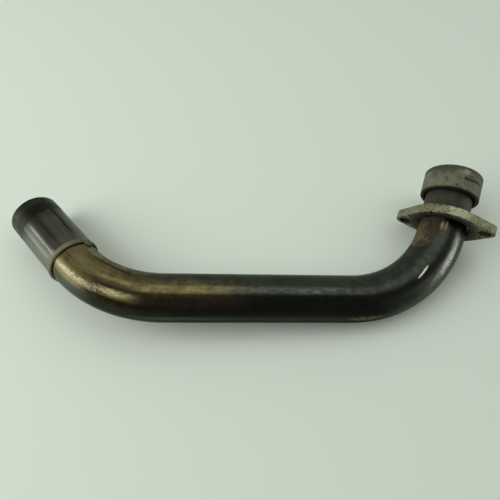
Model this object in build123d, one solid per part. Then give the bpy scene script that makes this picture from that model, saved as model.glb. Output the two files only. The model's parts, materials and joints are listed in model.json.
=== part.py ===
from build123d import *

import os
from math import acos, atan2, cos, degrees, radians, sin

# Exhaust header for a small motorcycle, lying on a table as it comes to rest.
# A bent steel tube carries a muffler sleeve on one end and a port collar on the other. A flange with two
# stud holes is loose on the straight neck below the collar, and lies askew on the table.
# Millimetres. It is built with the tube's straight run along X and the port bend in the XY plane, then laid down.

# Tube
TUBE_OD = 35.0
TUBE_WALL = 1.5
RUN_LENGTH = 137.4
PORT_BEND_R = 79.7
PORT_BEND_DEG = 71.4
MUFFLER_BEND_R = 88.1
MUFFLER_BEND_DEG = 49.4
MUFFLER_BEND_TWIST_DEG = -27.9  # turn of the muffler bend's plane about the run, from the port bend's plane
NECK_LENGTH = 46.7  # from the end of the port bend to the collar's port face

# Muffler sleeve, from the end of the muffler bend
SLEEVE_LENGTH = 60.7
SLEEVE_WALL = 1.0
SLEEVE_FIT = 0.1  # radial clearance on the tube
LIP_LENGTH = 5.2
LIP_FLARE = 0.8  # growth in radius
TAIL_SETBACK = 2.0  # the tube's end, inside the sleeve's end

# Tack weld that joins the sleeve's lip to the tube
TACK_LENGTH = 8.0  # along the tube
TACK_WIDTH = 6.8
TACK_HEIGHT = 2.4  # above the tube
TACK_TURN_DEG = -43.0  # from the inside of the muffler bend
TACK_ALONG = 0.4  # from the lip's edge towards the sleeve

# Port collar, with a skirt that stands clear of the neck
COLLAR_OD = 43.5
COLLAR_HEIGHT = 19.8
COLLAR_FIT = 0.1  # radial clearance of its land on the tube
COLLAR_EDGE = 0.8  # chamfer of the outer edges
SKIRT_GAP = 1.3
SKIRT_DEPTH = 8.0
MOUTH_SETBACK = 2.5  # the tube's end, below the port face
MOUTH_WELD_LEG = 1.4
MOUTH_WELD_CROWN = 0.25
MOUTH_WELD_GAP = 0.02  # between the bead and the collar's land

# Loose flange
FLANGE_THICKNESS = 6.9
FLANGE_DISC_R = 27.2
FLANGE_EAR_R = 7.1
FLANGE_EDGE = 0.6  # round of the outer edges
FLANGE_PLAY = 1.2  # radial clearance of the bore on the tube
FLANGE_REST_GAP = 0.1  # where the bore lies against the tube
STUD_SPACING = 58.9
STUD_HOLE_D = 9.0
FLANGE_STAND = 2.9  # from the end of the port bend to the flange
FLANGE_TURN_DEG = 147.4  # of the long axis, from the inside of the port bend
FLANGE_TILT_DEG = 2.8

# Steps that settle the header on the table
REST_PASSES = 60

# Radii and heights that follow
tube_r = TUBE_OD / 2
bore_r = tube_r - TUBE_WALL
sleeve_bore_r = tube_r + SLEEVE_FIT
sleeve_r = sleeve_bore_r + SLEEVE_WALL
land_r = tube_r + COLLAR_FIT
collar_r = COLLAR_OD / 2
collar_low = NECK_LENGTH - COLLAR_HEIGHT
mouth = NECK_LENGTH - MOUTH_SETBACK
flange_tilt = radians(FLANGE_TILT_DEG)
flange_shift = FLANGE_PLAY - FLANGE_THICKNESS * sin(flange_tilt) - FLANGE_REST_GAP


# Planes along the tube: z runs on along the tube, x points to the inside of the bend

def bend_end(start, radius, angle):
    """Plane at the end of a bend that turns from the start plane's z towards its x."""
    turn = radians(angle)
    ahead = start.z_dir * cos(turn) + start.x_dir * sin(turn)
    inside = start.x_dir * cos(turn) - start.z_dir * sin(turn)
    centre = start.origin + start.x_dir * radius
    return Plane(origin=centre - inside * radius, x_dir=inside, z_dir=ahead)


twist = radians(MUFFLER_BEND_TWIST_DEG)
port_bend = Plane(origin=(RUN_LENGTH / 2, 0, 0), x_dir=(0, 1, 0), z_dir=(1, 0, 0))
neck = bend_end(port_bend, PORT_BEND_R, PORT_BEND_DEG)
muffler_bend = Plane(origin=(-RUN_LENGTH / 2, 0, 0), x_dir=(0, cos(twist), sin(twist)), z_dir=(-1, 0, 0))
tail = bend_end(muffler_bend, MUFFLER_BEND_R, MUFFLER_BEND_DEG)


def turned_on(plane, angle):
    """Direction across a plane, at an angle from its x."""
    return plane.x_dir * cos(radians(angle)) + plane.y_dir * sin(radians(angle))


def flange_plane():
    """Underside of the flange, with x along its long axis."""
    long_axis = turned_on(neck, FLANGE_TURN_DEG)
    return Plane(
        origin=neck.origin + neck.z_dir * FLANGE_STAND + long_axis * flange_shift,
        x_dir=long_axis * cos(flange_tilt) - neck.z_dir * sin(flange_tilt),
        z_dir=neck.z_dir * cos(flange_tilt) + long_axis * sin(flange_tilt),
    )


# Pieces

def along_tube(section):
    """The section carried along the whole tube: tail, muffler bend, run, port bend and neck."""
    muffler_axis = Axis(muffler_bend.origin + muffler_bend.x_dir * MUFFLER_BEND_R, muffler_bend.y_dir)
    port_axis = Axis(port_bend.origin + port_bend.x_dir * PORT_BEND_R, port_bend.y_dir)
    run = extrude(muffler_bend * section, amount=-RUN_LENGTH)
    run += revolve(muffler_bend * section, axis=muffler_axis, revolution_arc=MUFFLER_BEND_DEG)
    run += extrude(tail * section, amount=SLEEVE_LENGTH - TAIL_SETBACK)
    run += revolve(port_bend * section, axis=port_axis, revolution_arc=PORT_BEND_DEG)
    run += extrude(neck * section, amount=mouth)
    return run


def turned(plane, outline):
    """Solid of revolution about a plane's z, from a closed outline of radius and height."""
    face = make_face(outline)
    return plane * revolve(Plane.XZ * face, axis=Axis.Z, revolution_arc=360)


def header_tube():
    return along_tube(Circle(tube_r) - Circle(bore_r))


def muffler_sleeve():
    outline = Polyline(
        (sleeve_bore_r + LIP_FLARE, 0),
        (sleeve_r + LIP_FLARE, 0),
        (sleeve_r, LIP_LENGTH),
        (sleeve_r, SLEEVE_LENGTH),
        (sleeve_bore_r, SLEEVE_LENGTH),
        (sleeve_bore_r, LIP_LENGTH),
        close=True,
    )
    return turned(tail, outline)


def sleeve_envelope():
    """The sleeve filled in, which the tack lies against."""
    outline = Polyline(
        (0, 0),
        (sleeve_r + LIP_FLARE, 0),
        (sleeve_r, LIP_LENGTH),
        (sleeve_r, SLEEVE_LENGTH),
        (0, SLEEVE_LENGTH),
        close=True,
    )
    return turned(tail, outline)


def sleeve_tack():
    """Blob of weld that bridges the lip's edge and the tube."""
    out = turned_on(tail, TACK_TURN_DEG)
    seat = Plane(origin=tail.origin + out * tube_r + tail.z_dir * TACK_ALONG, x_dir=tail.z_dir, z_dir=out)
    blob = scale(Sphere(1), by=(TACK_LENGTH / 2, TACK_WIDTH / 2, TACK_HEIGHT))
    return seat * blob - along_tube(Circle(tube_r)) - sleeve_envelope()


def port_collar():
    outline = Polyline(
        (tube_r + SKIRT_GAP, collar_low),
        (collar_r - COLLAR_EDGE, collar_low),
        (collar_r, collar_low + COLLAR_EDGE),
        (collar_r, NECK_LENGTH - COLLAR_EDGE),
        (collar_r - COLLAR_EDGE, NECK_LENGTH),
        (land_r, NECK_LENGTH),
        (land_r, collar_low + SKIRT_DEPTH),
        (tube_r + SKIRT_GAP, collar_low + SKIRT_DEPTH),
        close=True,
    )
    return turned(neck, outline)


def collar_weld():
    """Ring of weld in the corner between the tube's end and the collar's land."""
    root = land_r - MOUTH_WELD_GAP
    toe = root - MOUTH_WELD_LEG
    tip = mouth + MOUTH_WELD_LEG
    crown = (root - MOUTH_WELD_LEG / 2 - MOUTH_WELD_CROWN, mouth + MOUTH_WELD_LEG / 2 + MOUTH_WELD_CROWN)
    outline = [
        Line((toe, mouth), (root, mouth)),
        Line((root, mouth), (root, tip)),
        ThreePointArc((root, tip), crown, (toe, mouth)),
    ]
    return turned(neck, outline)


def flange_outline():
    """Outline of the flange: a disc and two ears round the stud holes, joined by their common tangents."""
    half = STUD_SPACING / 2
    lean = acos((FLANGE_DISC_R - FLANGE_EAR_R) / half)
    ear_x = half + FLANGE_EAR_R * cos(lean)
    ear_y = FLANGE_EAR_R * sin(lean)
    disc_x = FLANGE_DISC_R * cos(lean)
    disc_y = FLANGE_DISC_R * sin(lean)
    tip = half + FLANGE_EAR_R
    return make_face([
        Line((ear_x, ear_y), (disc_x, disc_y)),
        ThreePointArc((disc_x, disc_y), (0, FLANGE_DISC_R), (-disc_x, disc_y)),
        Line((-disc_x, disc_y), (-ear_x, ear_y)),
        ThreePointArc((-ear_x, ear_y), (-tip, 0), (-ear_x, -ear_y)),
        Line((-ear_x, -ear_y), (-disc_x, -disc_y)),
        ThreePointArc((-disc_x, -disc_y), (0, -FLANGE_DISC_R), (disc_x, -disc_y)),
        Line((disc_x, -disc_y), (ear_x, -ear_y)),
        ThreePointArc((ear_x, -ear_y), (tip, 0), (ear_x, ear_y)),
    ])


def mounting_flange():
    plate = extrude(flange_outline(), amount=FLANGE_THICKNESS)
    faces = plate.faces().sort_by(Axis.Z)
    plate = fillet(faces[0].outer_wire().edges() + faces[-1].outer_wire().edges(), FLANGE_EDGE)
    plate -= extrude(Circle(tube_r + FLANGE_PLAY), amount=FLANGE_THICKNESS)
    for side in (-1, 1):
        plate -= Pos(side * STUD_SPACING / 2, 0, 0) * extrude(Circle(STUD_HOLE_D / 2), amount=FLANGE_THICKNESS)
    return flange_plane() * plate


# Rest on the table: on the sleeve's far rim, the flange's lower rim and the underside of a bend

def lowest_on_ring(centre, axis, radius, up):
    """Lowest point of a circle."""
    down = axis * up.dot(axis) - up
    return centre + down.normalized() * radius


def lowest_on_bend(start, radius, angle, up):
    """Lowest point of the tube on a bend."""
    turn = degrees(atan2(-up.dot(start.z_dir), up.dot(start.x_dir)))
    section = bend_end(start, radius, min(max(turn, 0), angle))
    return lowest_on_ring(section.origin, section.z_dir, tube_r, up)


def resting_points(up):
    """The three points that the header rests on when the table's normal is up."""
    sleeve_point = lowest_on_ring(tail.origin + tail.z_dir * SLEEVE_LENGTH, tail.z_dir, sleeve_r, up)
    rim = flange_plane()
    rim_centre = rim.origin + rim.z_dir * FLANGE_EDGE
    flange_point = lowest_on_ring(rim_centre, rim.z_dir, FLANGE_DISC_R - FLANGE_EDGE, up) - up * FLANGE_EDGE
    bends = [
        lowest_on_bend(port_bend, PORT_BEND_R, PORT_BEND_DEG, up),
        lowest_on_bend(muffler_bend, MUFFLER_BEND_R, MUFFLER_BEND_DEG, up),
    ]
    return sleeve_point, flange_point, min(bends, key=up.dot)


def table_plane():
    """The table's top, with x along the run."""
    up = Vector(0, 0, 1)
    for _ in range(REST_PASSES):
        sleeve_point, flange_point, bend_point = resting_points(up)
        up = (bend_point - sleeve_point).cross(flange_point - sleeve_point).normalized()
    run = Vector(1, 0, 0)
    return Plane(origin=sleeve_point, x_dir=run - up * run.dot(up), z_dir=up)


table = table_plane()
pieces = {
    "header_tube": header_tube(),
    "muffler_sleeve": muffler_sleeve(),
    "sleeve_tack": sleeve_tack(),
    "port_collar": port_collar(),
    "collar_weld": collar_weld(),
    "mounting_flange": mounting_flange(),
}
laid = {name: table.to_local_coords(piece) for name, piece in pieces.items()}
box = Compound(list(laid.values())).bounding_box()
centred = Pos(-box.center().X, -box.center().Y, 0)

os.makedirs("parts", exist_ok=True)
for name, piece in laid.items():
    export_step(centred * piece, f"parts/{name}.step")
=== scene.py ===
import json
from math import acos, atan2, cos, exp, pi, radians, sin, tan

import bpy
from bpy.props import FloatProperty, FloatVectorProperty, PointerProperty
from mathutils import Matrix, Vector, noise

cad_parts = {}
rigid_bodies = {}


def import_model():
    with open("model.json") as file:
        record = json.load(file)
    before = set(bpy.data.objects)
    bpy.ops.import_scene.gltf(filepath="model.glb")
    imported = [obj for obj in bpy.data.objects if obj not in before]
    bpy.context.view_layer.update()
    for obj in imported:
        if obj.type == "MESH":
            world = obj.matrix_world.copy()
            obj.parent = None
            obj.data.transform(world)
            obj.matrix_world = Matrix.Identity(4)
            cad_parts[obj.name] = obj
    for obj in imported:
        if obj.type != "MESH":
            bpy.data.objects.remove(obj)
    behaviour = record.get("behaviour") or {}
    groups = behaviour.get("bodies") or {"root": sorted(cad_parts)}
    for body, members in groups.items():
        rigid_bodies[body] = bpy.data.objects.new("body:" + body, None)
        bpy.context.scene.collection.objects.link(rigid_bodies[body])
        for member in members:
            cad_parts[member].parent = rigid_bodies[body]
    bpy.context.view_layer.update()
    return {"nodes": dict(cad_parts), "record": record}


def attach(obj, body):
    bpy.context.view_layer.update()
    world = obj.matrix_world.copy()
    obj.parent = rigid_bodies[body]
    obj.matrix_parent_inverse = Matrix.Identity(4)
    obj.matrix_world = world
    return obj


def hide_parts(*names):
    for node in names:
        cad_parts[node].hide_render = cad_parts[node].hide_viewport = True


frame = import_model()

bl_info = {
    "name": "Exhaust header looks",
    "version": (1, 0, 0),
    "blender": (4, 5, 0),
    "location": "View3D > Sidebar > Header",
    "description": "A motorcycle exhaust header: tinted tube, muffler sleeve, port collar and loose flange",
    "category": "Object",
}

MM = 0.001
MOUNTS = {mount["name"]: mount for mount in frame["record"]["mounts"]}
OWN_PLACE = "own_place"
WELD = "rough_weld"
DEGREES = 180.0 / pi
FAR_SIDE = (-105.0, -150.0)  # degrees over which a mask on the far side fades out
MIX_FIRST, MIX_SECOND, MIX_RESULT = 6, 7, 2  # the colour sockets of a Mix node
TUBE_POINTS = 80
TUBE_RING_SPACING = 2.0 * MM
BEND_POINTS = 90
EDGE_ROUND = 0.5 * MM
SLEEVE_POINTS = 144
COLLAR_POINTS = 288
BORE_POINTS = 128
STUD_HOLE_POINTS = 48
BEAD_DROPS = 96
BEAD_SEED = 3
TABLE_REACH = 3.0
LAMP_WHITE = (1.0, 0.99, 0.96)
ROOM_WHITE = (0.97, 1.0, 0.95)


class Station:
    """A point on an axis, with a level and an upright direction across it."""

    def __init__(self, origin, axis):
        self.origin = Vector(origin)
        self.axis = Vector(axis).normalized()
        self.side = Vector((0, 0, 1)).cross(self.axis).normalized()
        self.up = self.axis.cross(self.side)

    def at(self, side=0.0, up=0.0, along=0.0):
        return self.origin + self.side * side + self.up * up + self.axis * along

    def moved(self, along):
        return Station(self.at(along=along), self.axis)


def size_of(mount, name):
    return MOUNTS[mount]["dims"][name] * MM


HALF_STUDS = size_of("stud_holes", "pcd_mm") / 2
STUD_HOLE = size_of("stud_holes", "hole_r_mm")


def mount_end(mount, share):
    """The station on a mount's axis, from -0.5 at its inner end to 0.5 at its outer end."""
    there = Station(MOUNTS[mount]["pos_m"], MOUNTS[mount]["axis"])
    return there.moved(size_of(mount, "length_mm") * share)


def length(name, description, default):
    return FloatProperty(name=name, description=description, default=default, unit="LENGTH",
                         precision=5)


def number(name, description, default, unit="NONE"):
    return FloatProperty(name=name, description=description, default=default, unit=unit)


def colour(name, description, default):
    return FloatVectorProperty(name=name, description=description, default=default, size=3,
                               subtype="COLOR", min=0.0, max=1.0)


def turn(name, description, degrees):
    return number(name, description, radians(degrees), "ROTATION")


class HeaderSizes(bpy.types.PropertyGroup):
    """Sizes of the pieces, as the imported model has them."""

    tube_wall: length("Tube wall", "Thickness of the tube", 1.5 * MM)
    port_bend_radius: length("Port bend radius", "Radius of the bend by the flange", 79.7 * MM)
    port_bend_angle: turn("Port bend angle", "Turn of the bend by the flange", 71.4)
    muffler_bend_radius: length("Muffler bend radius", "Radius of the bend by the sleeve", 88.1 * MM)
    muffler_bend_angle: turn("Muffler bend angle", "Turn of the bend by the sleeve", 49.4)
    sleeve_wall: length("Sleeve wall", "Thickness of the muffler sleeve", 1.0 * MM)
    lip_length: length("Lip length", "Length of the flared lip", 5.2 * MM)
    lip_flare: length("Lip flare", "Growth in radius at the lip's edge", 0.8 * MM)
    tack_length: length("Tack length", "Length of the tack along the tube", 8.0 * MM)
    tack_width: length("Tack width", "Width of the tack round the tube", 6.8 * MM)
    tack_height: length("Tack height", "Height of the tack above the tube", 2.4 * MM)
    tack_turn: turn("Tack turn", "Place of the tack round the tube", 149.8)
    collar_height: length("Collar height", "Length of the port collar", 19.8 * MM)
    collar_edge: length("Collar edge", "Chamfer of the collar's outer edges", 0.8 * MM)
    collar_land: length("Collar land", "Radius of the collar's seat on the tube", 17.6 * MM)
    skirt_bore: length("Skirt bore", "Radius inside the collar's lower skirt", 18.8 * MM)
    skirt_depth: length("Skirt depth", "Depth of the clear room in the skirt", 8.0 * MM)
    mouth_setback: length("Mouth setback", "How far the tube ends inside the collar", 2.5 * MM)
    bead_leg: length("Bead leg", "Size of the weld bead at the mouth", 1.4 * MM)
    flange_thickness: length("Flange thickness", "Thickness of the flange plate", 6.9 * MM)
    flange_disc: length("Flange disc radius", "Radius of the middle of the flange", 27.2 * MM)
    flange_ear: length("Flange ear radius", "Radius of the flange's two ends", 7.1 * MM)
    flange_bore: length("Flange bore radius", "Radius of the flange's bore", 18.7 * MM)
    flange_edge: length("Flange edge", "Round of the flange's outer edges", 0.6 * MM)


class HeaderFinish(bpy.types.PropertyGroup):
    """Colours of the surfaces."""

    straw: colour("Straw", "Heat tint near the sleeve", (0.235, 0.20, 0.088))
    bronze: colour("Bronze", "Deeper heat tint", (0.115, 0.088, 0.037))
    # umber is also laid as painted dark reflection lines along the muffler bend
    umber_and_shade: colour("Umber", "Darkest heat tint", (0.048, 0.036, 0.019))
    russet: colour("Russet", "Red-brown tint on the front of the run", (0.185, 0.126, 0.078))
    flank: colour("Flank", "Grey steel on the front of the muffler bend", (0.14, 0.14, 0.122))
    gunmetal: colour("Gunmetal", "Dark steel of the run and the port bend", (0.056, 0.064, 0.050))
    # grime is also laid as painted shade and painted shadow on the run and the muffler bend
    grime: colour("Grime", "Dirt on the underside", (0.013, 0.014, 0.011))
    scuff: colour("Scuff", "Bare metal where the tube is scuffed", (0.64, 0.585, 0.42))
    # bare is also laid as painted highlights on the port bend and the flange's rim
    bare_and_highlight: colour("Bare", "Bright metal in a fresh scrape", (0.80, 0.81, 0.77))
    oxide: colour("Oxide", "Dull oxide on the neck", (0.068, 0.066, 0.047))
    rust: colour("Rust", "Orange rust by the flange", (0.110, 0.066, 0.032))
    old_rust: colour("Old rust", "Dark old rust by the flange", (0.036, 0.029, 0.018))
    pale_rust: colour("Pale rust", "Pale streaks in the rust", (0.40, 0.30, 0.17))
    # soot is also laid as painted shade: on the tube under the flange, the collar's lower edge, the
    # flange's bore and its stud holes
    soot_and_shade: colour("Soot", "Soot inside the tube", (0.012, 0.011, 0.009))
    steel: colour("Steel", "Bright steel of the sleeve", (0.190, 0.195, 0.168))
    # sleeve_haze_and_shade is also the colour of painted shade on the sleeve's far side
    sleeve_haze_and_shade: colour("Dull sleeve", "Olive haze on the sleeve", (0.132, 0.134, 0.102))
    # sleeve_soot_and_shade is also laid as painted shade and painted dark reflection lines on the sleeve's
    # far side
    sleeve_soot_and_shade: colour("Sleeve soot", "Soot band on the sleeve", (0.020, 0.023, 0.014))
    lip_straw: colour("Lip straw", "Heat tint of the sleeve's lip", (0.225, 0.205, 0.122))
    collar: colour("Collar", "Dull steel of the collar", (0.122, 0.126, 0.072))
    collar_dark: colour("Collar stain", "Stains on the collar", (0.046, 0.052, 0.036))
    collar_rubbed: colour("Collar rubbed", "Metal rubbed bare on collar and flange", (0.24, 0.258, 0.196))
    collar_pale: colour("Collar pale", "Pale places on the collar", (0.255, 0.262, 0.172))
    plating: colour("Plating", "Pale plating of the flange", (0.184, 0.186, 0.098))
    # worn_plating_and_highlight is also laid as painted highlights on the flange's rim
    worn_plating_and_highlight: colour("Worn plating", "Rubbed plating on the flange's rim", (0.46, 0.475, 0.31))
    plating_dirt: colour("Plating dirt", "Dirt on the flange", (0.026, 0.029, 0.016))
    weld: colour("Weld", "Rough weld metal", (0.102, 0.120, 0.084))


class HeaderStage(bpy.types.PropertyGroup):
    """Camera, lamps and floor."""

    aim: FloatVectorProperty(name="Aim", description="Point that the camera looks at", size=3,
                             subtype="TRANSLATION", default=(-0.35 * MM, 7.44 * MM, 0.0))
    distance: length("Distance", "From the aim to the camera", 361.48 * MM)
    elevation: turn("Elevation", "Camera's height above the table", 64.16)
    azimuth: turn("Azimuth", "Camera's turn to the right of the front", -3.748)
    roll: turn("Roll", "Camera's turn about its own axis", 2.444)
    lens: number("Lens", "Focal length in millimetres", 31.542, "CAMERA")
    floor: colour("Floor", "Colour of the table", (0.69, 0.77, 0.68))
    left_fill: number("Left fill", "Power of the soft light from the left", 12.6, "POWER")
    right_fill: number("Right fill", "Power of the soft light from the right", 3.4, "POWER")
    softbox: number("Softbox", "Power of the overhead softbox", 1.6, "POWER")
    left_wall: number("Left wall", "Power of the pale wall on the left", 1.8, "POWER")
    left_strip: number("Left strip", "Power of the strip light on the left", 0.60, "POWER")
    right_wall: number("Right wall", "Power of the pale wall on the right", 3.8, "POWER")
    room_back: number("Room behind", "Strength of the room's light from behind", 0.48)
    room_front: number("Room in front", "Strength of the room's light from the front", 0.10)


class Value:
    """A node's socket, for use in ordinary sums."""

    def __init__(self, tree, socket):
        self.tree = tree
        self.socket = socket

    def __add__(self, other):
        return self.tree.sum("ADD", self, other)

    def __radd__(self, other):
        return self.tree.sum("ADD", other, self)

    def __sub__(self, other):
        return self.tree.sum("SUBTRACT", self, other)

    def __rsub__(self, other):
        return self.tree.sum("SUBTRACT", other, self)

    def __mul__(self, other):
        return self.tree.sum("MULTIPLY", self, other)

    def __rmul__(self, other):
        return self.tree.sum("MULTIPLY", other, self)


class Tree:
    """A node tree under construction."""

    def __init__(self, tree):
        self.tree = tree

    def node(self, kind, settings, sockets, output=0):
        """Adds a node with these settings and sockets, and returns one of its outputs."""
        made = self.tree.nodes.new(kind)
        for name, value in settings.items():
            setattr(made, name, value)
        for key, value in sockets.items():
            self.plug(made.inputs[key], value)
        return Value(self, made.outputs[output])

    def plug(self, socket, value):
        if isinstance(value, Value):
            self.tree.links.new(value.socket, socket)
        elif socket.type == "RGBA":
            socket.default_value = (*value, 1.0)
        else:
            socket.default_value = value

    def sum(self, operation, *values):
        return self.node("ShaderNodeMath", {"operation": operation}, dict(enumerate(values)))

    def most(self, first, second):
        return self.sum("MAXIMUM", first, second)

    def parts(self, place):
        return [self.node("ShaderNodeSeparateXYZ", {}, {0: place}, axis) for axis in "XYZ"]

    def join(self, x, y, z):
        return self.node("ShaderNodeCombineXYZ", {}, {0: x, 1: y, 2: z})

    def step(self, value, low, high):
        """Rises smoothly from 0 at low to 1 at high, or falls where low is the greater."""
        if low > high:
            return 1.0 - self.step(value, high, low)
        return self.node("ShaderNodeMapRange", {"interpolation_type": "SMOOTHSTEP"},
                         {"Value": value, "From Min": low, "From Max": high})

    def span(self, value, low, full, fading, end):
        """Rises from low to full, and falls from fading to end."""
        return self.step(value, low, full) * self.step(value, end, fading)

    def hump(self, value, middle, half):
        """1 at the middle, 0 beyond half on either side."""
        off = self.sum("ABSOLUTE", value - middle)
        return self.step(off, half, 0.0)

    def angle(self, level, upright):
        """Degrees round a piece's axis, from -180 to 180."""
        return self.sum("ARCTAN2", upright, level) * DEGREES

    def beyond(self, around, low, high):
        """Rises from low to high degrees, stays 1 across the far side, and falls before it comes round."""
        return self.most(self.step(around, low, high), self.step(around, *FAR_SIDE))


class Shader(Tree):
    """A procedural material under construction, with the colour that is laid on so far."""

    def __init__(self, name, **constants):
        self.material = bpy.data.materials.new(name)
        self.material.use_nodes = True
        super().__init__(self.material.node_tree)
        self.surface = self.tree.nodes["Principled BSDF"]
        self.base = None
        self.feed(**constants)

    def feed(self, **values):
        for socket, value in values.items():
            self.plug(self.surface.inputs[socket.replace("_", " ")], value)

    def place(self):
        """The piece's own coordinates in millimetres."""
        place = self.node("ShaderNodeAttribute", {"attribute_name": OWN_PLACE}, {}, "Vector")
        return self.node("ShaderNodeVectorMath", {"operation": "SCALE"}, {0: place, "Scale": 1.0 / MM})

    def grain(self, place, scale, detail, roughness, seed):
        """Noise from 0 to 1 about a mean of 0.5, with its own seed."""
        return self.node("ShaderNodeTexNoise", {"noise_dimensions": "4D"},
                         {"Vector": place, "W": seed, "Scale": scale, "Detail": detail,
                          "Roughness": roughness})

    def cells(self, place, scale):
        return self.node("ShaderNodeTexVoronoi", {"voronoi_dimensions": "3D"},
                         {"Vector": place, "Scale": scale})

    def mix(self, first, second, amount):
        return self.node("ShaderNodeMix", {"data_type": "RGBA"},
                         {0: amount, MIX_FIRST: first, MIX_SECOND: second}, MIX_RESULT)

    def lay(self, tone, amount):
        """Lays a colour over the base, as strongly as the amount says."""
        self.base = self.mix(self.base, tone, amount)

    def bump(self, height, distance, strength):
        return self.node("ShaderNodeBump", {},
                         {"Height": height, "Distance": distance, "Strength": strength})


def scaled(tone, times):
    return [part * times for part in tone]


def tube_material(finish, way):
    """Heat-tinted tube: straw by the sleeve, dark grey along the run, rust under the flange.

    Places round the tube are in degrees, and along it in millimetres past the starts given in way.
    """
    paint = Shader("tinted_tube", Specular_Tint=(0.62, 0.62, 0.62), Specular_IOR_Level=0.3)
    step, hump, span, beyond, most = paint.step, paint.hump, paint.span, paint.beyond, paint.most
    place = paint.place()
    along, level, upright = paint.parts(place)
    around = paint.angle(level, upright)
    past_lip = along - way["lip"]
    past_run = along - way["run_start"]
    past_bend = along - way["bend_start"]
    past_foot = along - way["neck_foot"]
    drawn = paint.join(along * 0.06, level, upright)
    cloud = paint.grain(place, 0.030, 3, 0.6, 1)
    streak = paint.grain(drawn, 0.42, 4, 0.65, 2)
    fine = paint.grain(drawn, 1.6, 3, 0.6, 3)
    speck = paint.grain(place, 0.75, 3, 0.7, 4)
    blotch = paint.grain(place, 0.16, 4, 0.65, 5)
    dashes = paint.grain(paint.join(along * 0.40, level, upright), 1, 3, 0.7, 6)
    strokes = paint.grain(paint.join(along * 0.30, level, upright), 0.55, 3, 0.6, 7)
    grains = (cloud, streak, fine, speck, blotch)
    cloud_off, drift, fine_off, speck_off, blotch_off = (grain - 0.5 for grain in grains)

    # Heat tint: all round on the muffler bend, then only a band on top of the run
    wander = past_run + cloud_off * 30 + drift * 16
    heated = step(wander, 72, 16)
    straight = step(past_run, -36, 4)
    band = span(around + drift * 12, 48, 88, 99, 121)
    gold = heated * (1 - straight * (1 - band))
    deep = step(blotch + drift * 0.7 + cloud_off * 0.4, 0.36, 0.66)
    pale = hump(around + drift * 20, 77, 20) * hump(past_lip, 15, 20)
    deep = deep * 0.85 * (1 - pale) + step(past_run, 15, 80) * 0.35
    tint = paint.mix(finish.straw, finish.bronze, 0.16 + deep)
    brown = step(wander, 68, 22) * span(around, 94, 108, 136, 150)
    dark = paint.mix(finish.gunmetal, finish.russet, brown * 0.90)
    tint = paint.mix(tint, finish.scuff, pale * step(blotch + speck_off * 0.6, 0.42, 0.62) * 0.20)
    paint.base = paint.mix(dark, tint, gold)

    # Muffler bend: painted dark reflection lines along its inner side and top, and a grey front with
    # painted shadow towards the run
    line = 51 + step(past_lip, 31, 61) * 9
    # Painted shade: a dark reflection line along the inner side of the muffler bend
    shade = hump(around - line + drift * 8, 0, 7.5) * hump(past_lip, 37, 36)
    paint.lay(finish.umber_and_shade, step(shade, 0.10, 0.60) * 0.80)
    # Painted shade: a dark reflection band along the top of the muffler bend
    crest = hump(around + drift * 14 + speck_off * 6, 96, 15) * hump(past_lip, 42, 27)
    paint.lay(finish.umber_and_shade, step(crest, 0.10, 0.70) * 0.80)
    flank = beyond(around + drift * 22, 128, 146) * step(past_lip, 59, 29)
    paint.lay(finish.flank, flank * 0.85)
    pull = flank * step(streak + fine_off * 0.5, 0.48, 0.64) * step(past_lip, 40, 10)
    paint.lay(finish.steel, pull * 0.7)
    # Painted shadow: the low front of the muffler bend darkened in the grime colour
    shadow = beyond(around, 124, 142) * span(past_lip, 14, 38, 66, 88)
    paint.lay(finish.grime, shadow * 0.88)

    # Stains and grime, painted shade over the run's front and underside, and a paler grey band low on its
    # front
    stained = step(speck + drift * 0.6, 0.50, 0.66)
    paint.lay(finish.gunmetal, stained * 0.40)
    patina = step(blotch + speck_off * 0.6 + cloud_off * 0.5, 0.42, 0.60)
    paint.lay(finish.grime, patina * (1 - gold) * 0.35)
    # Painted shade: the run's front and underside laid nearly black in the grime colour
    below = most(step(around, 118, 143), step(around, 0, -25))
    below = below * step(past_run, -20, 14) * step(past_bend, 40, 10)
    paint.lay(finish.grime, below * 0.94)
    lower = hump(around + drift * 6, 165, 12) * step(past_run, -30, 0)
    paint.lay(finish.flank, lower * (0.22 + step(past_run, 60, 10) * 0.22))

    # Scuffs down the front of the muffler bend, where it meets the run, along the run and up the port bend,
    # with painted light among them: a glint and a sheen on the muffler bend, a highlight on the port bend's
    # side and a reflection along its outer side
    slope = around - 119.5
    glint = hump(slope, 0, 9) * hump(past_lip, 7, 13)
    worn = hump(slope, 0, 14) * hump(past_lip, 20, 30)
    worn = most(worn, hump(around, 114, 13) * hump(past_lip, 45, 25))
    top = hump(around + blotch_off * 10, 92, 13) * hump(past_run, 104, 84)
    # Painted highlight up the port bend's side, broken up with scuffs
    side = hump(around + (past_foot + 21) * 0.45, 128, 14) * hump(past_foot, -29, 27)
    mark = dashes * 0.50 + speck * 0.50
    # Painted sheen: a brighter straw glow round the glint and where the bend meets the run
    halo = span(around, 97, 116, 122, 132) * hump(past_lip, 12, 40)
    meet = span(around, 102, 110, 121, 131) * hump(past_lip, 48, 22)
    haze = most(halo, meet) * (0.55 + dashes * 0.9)
    lit_straw = scaled(finish.straw, 1.35)
    paint.lay(lit_straw, haze)
    # The glint adds painted highlight to the scuff flecks by the lip
    rubbed = step(mark + worn * 0.14 + glint * 0.09, 0.49, 0.76) * step(worn + glint, 0, 0.60)
    along_top = top * step(strokes + (mark - 0.5) * 0.5, 0.47, 0.64) * 0.09
    side_highlight = side * (0.10 + step(strokes * 0.4 + speck * 0.6, 0.42, 0.60) * 0.58)
    duller = hump(around, 136, 26) * span(past_foot, -100, -60, -44, -24)
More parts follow.
